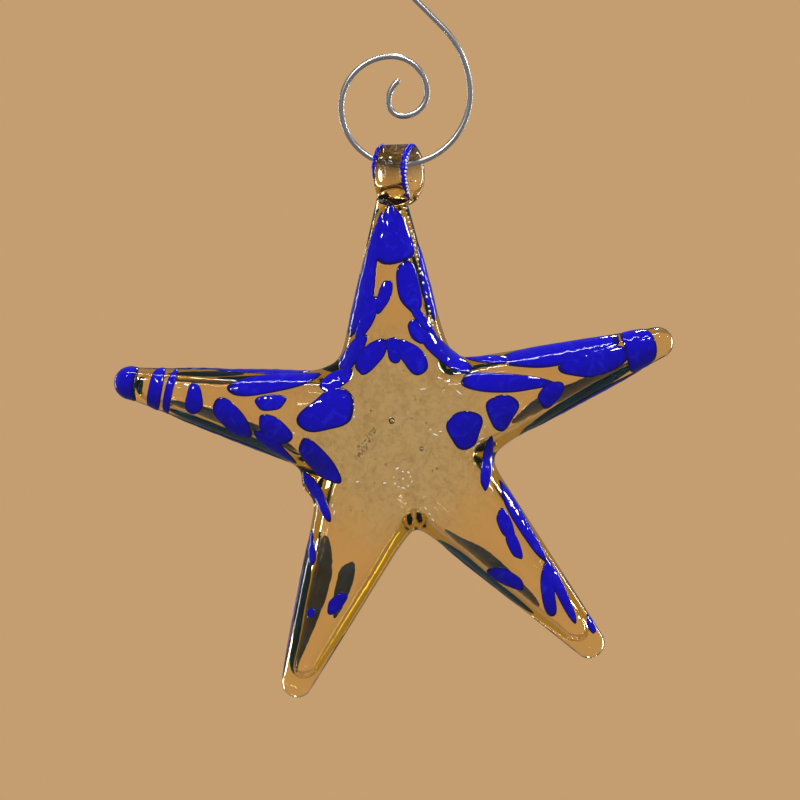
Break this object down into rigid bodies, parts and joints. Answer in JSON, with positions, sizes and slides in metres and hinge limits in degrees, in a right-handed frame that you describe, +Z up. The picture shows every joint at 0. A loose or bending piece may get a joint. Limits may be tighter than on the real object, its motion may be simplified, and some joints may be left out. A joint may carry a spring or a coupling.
{
  "type": "blown glass star ornament",
  "caption": "Hollow hand-blown amber glass star with blue glass chips fused to its skin, hung by a folded glass loop from a bent wire swirl hook.",
  "frame": {"origin": "highest point inside the hook's crook, where the branch or nail bears", "axes": "+X to the viewer's right, +Y away from the viewer, +Z up"},
  "size_m": [0.1276, 0.023, 0.1888],
  "materials": {
    "bright_wire": "bright drawn and hand bent",
    "amber_glass": "fire polished, hand blown",
    "blue_glass": "fire polished chips, melted into the skin"
  },
  "bodies": {
    "hook": {"swirl_hook": "bright_wire"},
    "star": {"hanging_loop": "amber_glass", "star_shell": "amber_glass", "chip_back_left_ridge": "blue_glass", "chip_back_left_under": "blue_glass", "chip_back_lower_left": "blue_glass", "chip_back_lower_left_inner": "blue_glass", "chip_back_lower_right": "blue_glass", "chip_back_neck": "blue_glass", "chip_back_right_under": "blue_glass", "chip_back_top_left": "blue_glass", "chip_body_round": "blue_glass", "chip_bow_left": "blue_glass", "chip_bow_middle": "blue_glass", "chip_bow_right": "blue_glass", "chip_left_band_inner": "blue_glass", "chip_left_band_outer": "blue_glass", "chip_left_body": "blue_glass", "chip_left_body_lower": "blue_glass", "chip_left_crotch_lower": "blue_glass", "chip_left_crotch_upper": "blue_glass", "chip_left_leaf_lower": "blue_glass", "chip_left_leaf_outer": "blue_glass", "chip_left_leaf_upper": "blue_glass", "chip_left_lower_edge": "blue_glass", "chip_left_ridge": "blue_glass", "chip_left_stripe": "blue_glass", "chip_left_tip_cap": "blue_glass", "chip_lower_left_edge": "blue_glass", "chip_lower_left_leaf": "blue_glass", "chip_lower_left_spot": "blue_glass", "chip_lower_right_edge": "blue_glass", "chip_lower_right_leaf": "blue_glass", "chip_lower_right_streak": "blue_glass", "chip_lower_right_teardrop": "blue_glass", "chip_lower_right_tip": "blue_glass", "chip_lower_right_under": "blue_glass", "chip_right_band": "blue_glass", "chip_right_blade": "blue_glass", "chip_right_crotch_lower": "blue_glass", "chip_right_crotch_upper": "blue_glass", "chip_right_long_leaf": "blue_glass", "chip_right_stub": "blue_glass", "chip_right_upper_edge": "blue_glass", "chip_right_upper_root": "blue_glass", "chip_right_wedge": "blue_glass", "chip_top_blob": "blue_glass", "chip_top_drop": "blue_glass", "chip_top_drop_tail": "blue_glass", "chip_top_leaf": "blue_glass", "chip_top_left_edge": "blue_glass", "chip_top_left_shoulder": "blue_glass", "chip_top_left_streak": "blue_glass", "chip_top_right_edge": "blue_glass", "chip_top_right_shoulder": "blue_glass", "streak_loop_left": "blue_glass", "streak_loop_right": "blue_glass"}
  },
  "joints": [
    {"name": "star_swing", "type": "hinge", "parent": "hook", "child": "star", "pos_m": [0, 0, -0.06609], "axis": [1, 0, 0], "range_deg": [-145, 145]}
  ]
}
